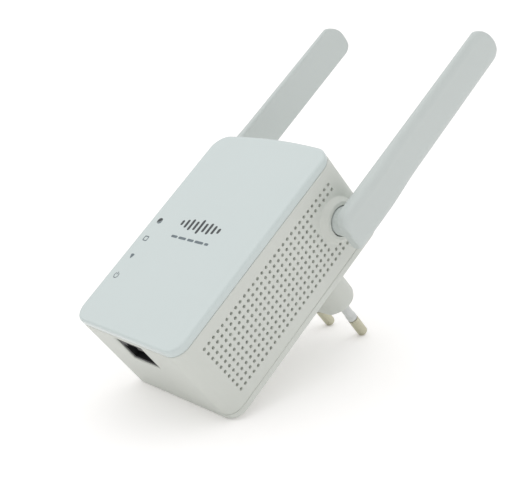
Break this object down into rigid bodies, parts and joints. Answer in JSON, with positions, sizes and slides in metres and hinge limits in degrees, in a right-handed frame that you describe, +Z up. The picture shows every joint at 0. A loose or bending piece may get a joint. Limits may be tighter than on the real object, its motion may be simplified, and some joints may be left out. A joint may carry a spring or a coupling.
{
  "type": "wifi range extender",
  "caption": "Plug-in wireless range extender: rounded box housing with side vents, network socket below, round-pin plug boss behind and swivelling paddle antennas.",
  "frame": {"origin": "centre of the plug boss's flat end face, in the plane that meets the wall socket, midway between the pins", "axes": "+Z up along the raised antennas, +Y out of the plug boss along the pins, -Y out of the front face, +X towards the housing's right side"},
  "size_m": [0.084, 0.0798, 0.1616],
  "materials": {
    "front_white": "glossy",
    "housing_white": "satin",
    "antenna_white": "satin",
    "pin_sleeve": "satin",
    "pin_metal": "nickel-plated brass, satin",
    "board": "solder-mask satin",
    "black_plastic": "matte",
    "tin": "tin-plated steel",
    "copper": "bare copper",
    "contact": "gold flash",
    "coil": "coil tape",
    "clear_plastic": "clear, polished",
    "brown_lead": "pvc insulation",
    "blue_lead": "pvc insulation"
  },
  "bodies": {
    "housing": {"back_cover": "housing_white", "capacitor_1": "black_plastic", "capacitor_2": "black_plastic", "front_cover": "front_white", "led_1": "coil", "led_2": "coil", "led_3": "coil", "led_4": "coil", "light_guide_1": "clear_plastic", "light_guide_2": "clear_plastic", "light_guide_3": "clear_plastic", "light_guide_4": "clear_plastic", "live_lead": "brown_lead", "main_board": "board", "network_socket": "black_plastic", "neutral_lead": "blue_lead", "pigtail_left": "black_plastic", "pigtail_right": "black_plastic", "pin_sleeve_left": "pin_sleeve", "pin_sleeve_right": "pin_sleeve", "plug_boss": "housing_white", "plug_pin_left": "pin_metal", "plug_pin_right": "pin_metal", "power_board": "board", "processor": "black_plastic", "shell": "housing_white", "shield_can": "tin", "socket_contacts": "contact", "switch": "black_plastic", "transformer": "coil"},
    "antenna_right": {"antenna_paddle_right": "antenna_white", "hinge_barrel_right": "antenna_white", "retaining_clip_right": "tin", "antenna_element_right": "copper"},
    "antenna_left": {"antenna_paddle_left": "antenna_white", "hinge_barrel_left": "antenna_white", "retaining_clip_left": "tin", "antenna_element_left": "copper"},
    "push_button": {"button_cap": "housing_white"}
  },
  "joints": [
    {"name": "right_antenna_hinge", "type": "hinge", "parent": "housing", "child": "antenna_right", "pos_m": [0.03, -0.0405, 0.0085], "axis": [1, 0, 0], "range_deg": [0, 180]},
    {"name": "left_antenna_hinge", "type": "hinge", "parent": "housing", "child": "antenna_left", "pos_m": [-0.03, -0.0405, 0.0085], "axis": [1, 0, 0], "range_deg": [0, 180]},
    {"name": "button_press", "type": "slide", "parent": "housing", "child": "push_button", "axis": [0, 0, -1], "range_m": [0, 0.0006], "stiffness_N_per_m": 600}
  ]
}
